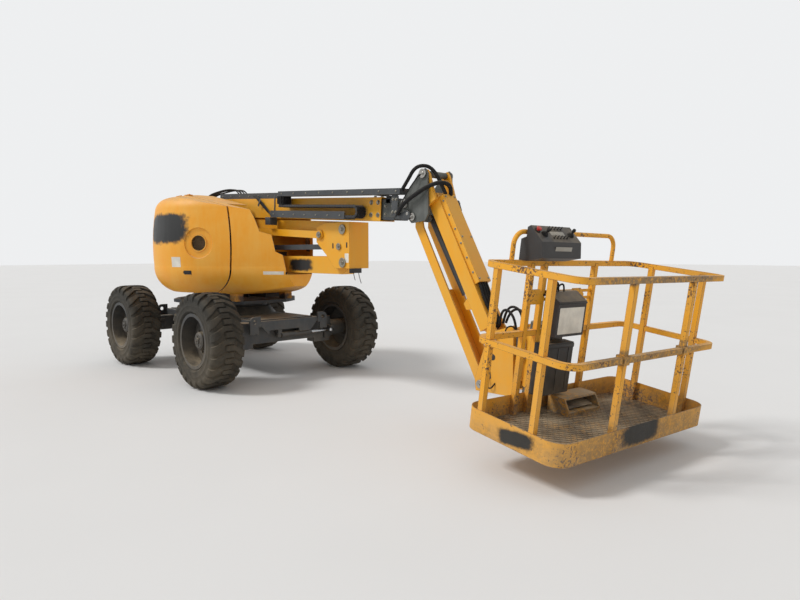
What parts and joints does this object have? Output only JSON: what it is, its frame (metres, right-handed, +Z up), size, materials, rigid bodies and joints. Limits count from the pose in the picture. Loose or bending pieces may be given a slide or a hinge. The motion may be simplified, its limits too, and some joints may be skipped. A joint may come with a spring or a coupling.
{
  "type": "articulating boom lift",
  "caption": "Self-propelled articulating boom lift, stowed: rough-terrain chassis, turret with rounded orange hoods, folded yellow arms, telescopic boom, jib and work platform.",
  "frame": {"origin": "on the ground under the slewing axis", "axes": "+X forward along the stowed boom, +Y to the machine's left, +Z up"},
  "size_m": [7.3582, 2.3, 2.2687],
  "materials": {
    "yellow": "faded safety-yellow paint, worn and dusty",
    "orange": "orange-yellow moulded covers, dusty",
    "dark_paint": "dark grey-green chassis paint, dusty",
    "grey_paint": "mid-grey painted plate",
    "black_paint": "black paint on links, mast and carrier",
    "cylinder": "dark grey cylinder barrels",
    "chrome": "hard-chromed rods",
    "tyre": "black rubber under brown dust",
    "rim": "dark painted wheels",
    "iron": "cast iron",
    "box_plastic": "grey plastic box",
    "chain": "black plastic cable chain"
  },
  "bodies": {
    "chassis": {"chassis_frame": "dark_paint", "front_axle": "dark_paint", "rear_axle": "dark_paint", "slew_ring": "iron", "steer_cylinder": "cylinder"},
    "knuckle_left": {"knuckle_left": "dark_paint"},
    "knuckle_right": {"knuckle_right": "dark_paint"},
    "steer_rod": {"steer_rod": "chrome"},
    "tie_rod": {"tie_rod": "iron"},
    "wheel_front_left": {"tyre_front_left": "tyre", "rim_front_left": "rim"},
    "wheel_front_right": {"tyre_front_right": "tyre", "rim_front_right": "rim"},
    "wheel_rear_left": {"tyre_rear_left": "tyre", "rim_rear_left": "rim"},
    "wheel_rear_right": {"tyre_rear_right": "tyre", "rim_rear_right": "rim"},
    "turret": {"turret_frame": "dark_paint", "counterweight": "dark_paint", "engine_block": "iron", "front_covers": "orange"},
    "hood_left": {"hood_left": "orange"},
    "hood_right": {"hood_right": "orange"},
    "lower_arm": {"lower_arm": "yellow"},
    "lower_link": {"lower_link": "black_paint"},
    "arm_cylinder": {"arm_cylinder": "cylinder"},
    "arm_rod": {"arm_rod": "chrome"},
    "front_knuckle": {"front_knuckle": "yellow"},
    "upper_arm": {"upper_arm": "yellow"},
    "upper_link": {"upper_link": "yellow"},
    "boom_mast": {"boom_mast": "black_paint"},
    "boom": {"boom": "yellow", "cable_tray": "black_paint"},
    "boom_cylinder": {"boom_cylinder": "cylinder"},
    "boom_rod": {"boom_rod": "chrome"},
    "telescope": {"telescope": "grey_paint", "cable_channel": "black_paint"},
    "cable_chain": {"cable_chain": "chain"},
    "head": {"boom_head": "grey_paint"},
    "jib": {"jib": "yellow"},
    "jib_link": {"jib_link": "yellow"},
    "jib_cylinder": {"jib_cylinder": "cylinder"},
    "jib_rod": {"jib_rod": "chrome"},
    "jib_bracket": {"jib_bracket": "yellow"},
    "platform": {"rotator": "grey_paint", "basket_tray": "yellow", "basket_rails": "yellow", "control_box": "box_plastic", "switch_box": "box_plastic", "document_box": "box_plastic", "foot_pedal": "box_plastic"},
    "entry_bar": {"entry_bar": "yellow"}
  },
  "joints": [
    {"name": "steer", "type": "hinge", "parent": "chassis", "child": "knuckle_left", "pos_m": [1.05, 0.655, 0.527], "axis": [0, 0, 1], "range_deg": [-30, 30]},
    {"name": "steer_right", "type": "hinge", "parent": "chassis", "child": "knuckle_right", "pos_m": [1.05, -0.655, 0.527], "axis": [0, 0, 1], "range_deg": [-30, 30]},
    {"name": "steer_rod_slide", "type": "slide", "parent": "chassis", "child": "steer_rod", "axis": [0, 1, 0], "range_m": [-0.07, 0.07]},
    {"name": "tie_rod_turn", "type": "hinge", "parent": "knuckle_left", "child": "tie_rod", "pos_m": [0.9, 0.655, 0.447], "axis": [0, 0, 1], "range_deg": [-30, 30]},
    {"name": "wheel_front_left_spin", "type": "hinge", "parent": "knuckle_left", "child": "wheel_front_left", "pos_m": [1.05, 0.959, 0.527], "axis": [0, 1, 0], "continuous": true},
    {"name": "wheel_front_right_spin", "type": "hinge", "parent": "knuckle_right", "child": "wheel_front_right", "pos_m": [1.05, -0.959, 0.527], "axis": [0, 1, 0], "continuous": true},
    {"name": "wheel_rear_left_spin", "type": "hinge", "parent": "chassis", "child": "wheel_rear_left", "pos_m": [-1.05, 0.959, 0.527], "axis": [0, 1, 0], "continuous": true},
    {"name": "wheel_rear_right_spin", "type": "hinge", "parent": "chassis", "child": "wheel_rear_right", "pos_m": [-1.05, -0.959, 0.527], "axis": [0, 1, 0], "continuous": true},
    {"name": "slew", "type": "hinge", "parent": "chassis", "child": "turret", "pos_m": [0, 0, 0.86], "axis": [0, 0, 1], "continuous": true},
    {"name": "hood_left_open", "type": "hinge", "parent": "turret", "child": "hood_left", "pos_m": [-0.24, 0.572, 2.216], "axis": [1, 0, 0], "range_deg": [0, 60]},
    {"name": "hood_right_open", "type": "hinge", "parent": "turret", "child": "hood_right", "pos_m": [-0.24, -0.572, 2.216], "axis": [-1, 0, 0], "range_deg": [0, 60]},
    {"name": "arm_lift", "type": "hinge", "parent": "turret", "child": "lower_arm", "pos_m": [-0.56, 0, 1.385], "axis": [0, -1, 0], "range_deg": [0, 65]},
    {"name": "lower_link_turn", "type": "hinge", "parent": "turret", "child": "lower_link", "pos_m": [-0.62, 0, 1.55], "axis": [0, -1, 0], "range_deg": [0, 65]},
    {"name": "arm_cylinder_turn", "type": "hinge", "parent": "turret", "child": "arm_cylinder", "pos_m": [-0.42, 0, 0.965], "axis": [0, -1, 0], "range_deg": [0, 56.4]},
    {"name": "arm_rod_slide", "type": "slide", "parent": "arm_cylinder", "child": "arm_rod", "axis": [0.9677, 0, 0.252], "range_m": [0, 0.4512]},
    {"name": "front_knuckle_level", "type": "hinge", "parent": "lower_arm", "child": "front_knuckle", "pos_m": [2.4, 0, 1.385], "axis": [0, -1, 0], "range_deg": [-65, 0]},
    {"name": "upper_arm_turn", "type": "hinge", "parent": "front_knuckle", "child": "upper_arm", "pos_m": [2.4, 0, 1.725], "axis": [0, -1, 0], "range_deg": [-65, 0]},
    {"name": "upper_link_turn", "type": "hinge", "parent": "front_knuckle", "child": "upper_link", "pos_m": [2.029, 0, 1.678], "axis": [0, -1, 0], "range_deg": [-65, 0]},
    {"name": "boom_mast_level", "type": "hinge", "parent": "upper_arm", "child": "boom_mast", "pos_m": [-0.495, 0, 1.887], "axis": [0, -1, 0], "range_deg": [0, 65]},
    {"name": "boom_lift", "type": "hinge", "parent": "boom_mast", "child": "boom", "pos_m": [-0.7, 0, 2.108], "axis": [0, -1, 0], "range_deg": [0, 75]},
    {"name": "boom_cylinder_turn", "type": "hinge", "parent": "boom_mast", "child": "boom_cylinder", "pos_m": [-0.62, 0, 1.835], "axis": [0, -1, 0], "range_deg": [0, 68]},
    {"name": "boom_rod_slide", "type": "slide", "parent": "boom_cylinder", "child": "boom_rod", "axis": [0.9989, 0, 0.047], "range_m": [0, 0.3633]},
    {"name": "telescope_slide", "type": "slide", "parent": "boom", "child": "telescope", "axis": [0.9984, 0, -0.0558], "range_m": [0, 1.2]},
    {"name": "cable_chain_slide", "type": "slide", "parent": "boom", "child": "cable_chain", "axis": [0.9984, 0, -0.0558], "range_m": [0, 0.6]},
    {"name": "head_level", "type": "hinge", "parent": "telescope", "child": "head", "pos_m": [3.345, 0, 1.93], "axis": [0, -1, 0], "range_deg": [-75, 0]},
    {"name": "jib_lift", "type": "hinge", "parent": "head", "child": "jib", "pos_m": [3.571, 0, 2.18], "axis": [0, -1, 0], "range_deg": [-5, 100]},
    {"name": "jib_link_turn", "type": "hinge", "parent": "head", "child": "jib_link", "pos_m": [3.445, 0, 1.807], "axis": [0, -1, 0], "range_deg": [-5, 100]},
    {"name": "jib_cylinder_turn", "type": "hinge", "parent": "head", "child": "jib_cylinder", "pos_m": [3.535, 0, 1.791], "axis": [0, -1, 0], "range_deg": [-5.65, 103.5]},
    {"name": "jib_rod_slide", "type": "slide", "parent": "jib_cylinder", "child": "jib_rod", "axis": [0.5092, 0, -0.8607], "range_m": [-0.0282, 0.5256]},
    {"name": "jib_bracket_level", "type": "hinge", "parent": "jib", "child": "jib_bracket", "pos_m": [4.33445, 0, 0.77389], "axis": [0, -1, 0], "range_deg": [-100, 5]},
    {"name": "platform_turn", "type": "hinge", "parent": "jib_bracket", "child": "platform", "pos_m": [4.607, 0, 0.3045], "axis": [0.1271, 0, 0.9919], "range_deg": [-75, 75]},
    {"name": "entry_bar_slide", "type": "slide", "parent": "platform", "child": "entry_bar", "axis": [0.1271, 0, 0.9919], "range_m": [0, 0.38]}
  ],
  "couplings": [
    {"joint": "steer_right", "follows": "steer", "ratio": 1},
    {"joint": "steer_rod_slide", "follows": "steer", "m_per_rad": 0.124},
    {"joint": "tie_rod_turn", "follows": "steer", "ratio": -1},
    {"joint": "lower_link_turn", "follows": "arm_lift", "ratio": 1},
    {"joint": "arm_cylinder_turn", "follows": "arm_lift", "ratio": 0.86},
    {"joint": "arm_rod_slide", "follows": "arm_lift", "m_per_rad": 0.396},
    {"joint": "front_knuckle_level", "follows": "arm_lift", "ratio": -1},
    {"joint": "upper_arm_turn", "follows": "arm_lift", "ratio": -1},
    {"joint": "upper_link_turn", "follows": "arm_lift", "ratio": -1},
    {"joint": "boom_mast_level", "follows": "arm_lift", "ratio": 1},
    {"joint": "boom_cylinder_turn", "follows": "boom_lift", "ratio": 0.9},
    {"joint": "boom_rod_slide", "follows": "boom_lift", "m_per_rad": 0.276},
    {"joint": "head_level", "follows": "boom_lift", "ratio": -1},
    {"joint": "cable_chain_slide", "follows": "telescope_slide", "ratio": 0.5},
    {"joint": "jib_link_turn", "follows": "jib_lift", "ratio": 1},
    {"joint": "jib_cylinder_turn", "follows": "jib_lift", "ratio": 1.03},
    {"joint": "jib_rod_slide", "follows": "jib_lift", "m_per_rad": 0.3},
    {"joint": "jib_bracket_level", "follows": "jib_lift", "ratio": -1}
  ]
}
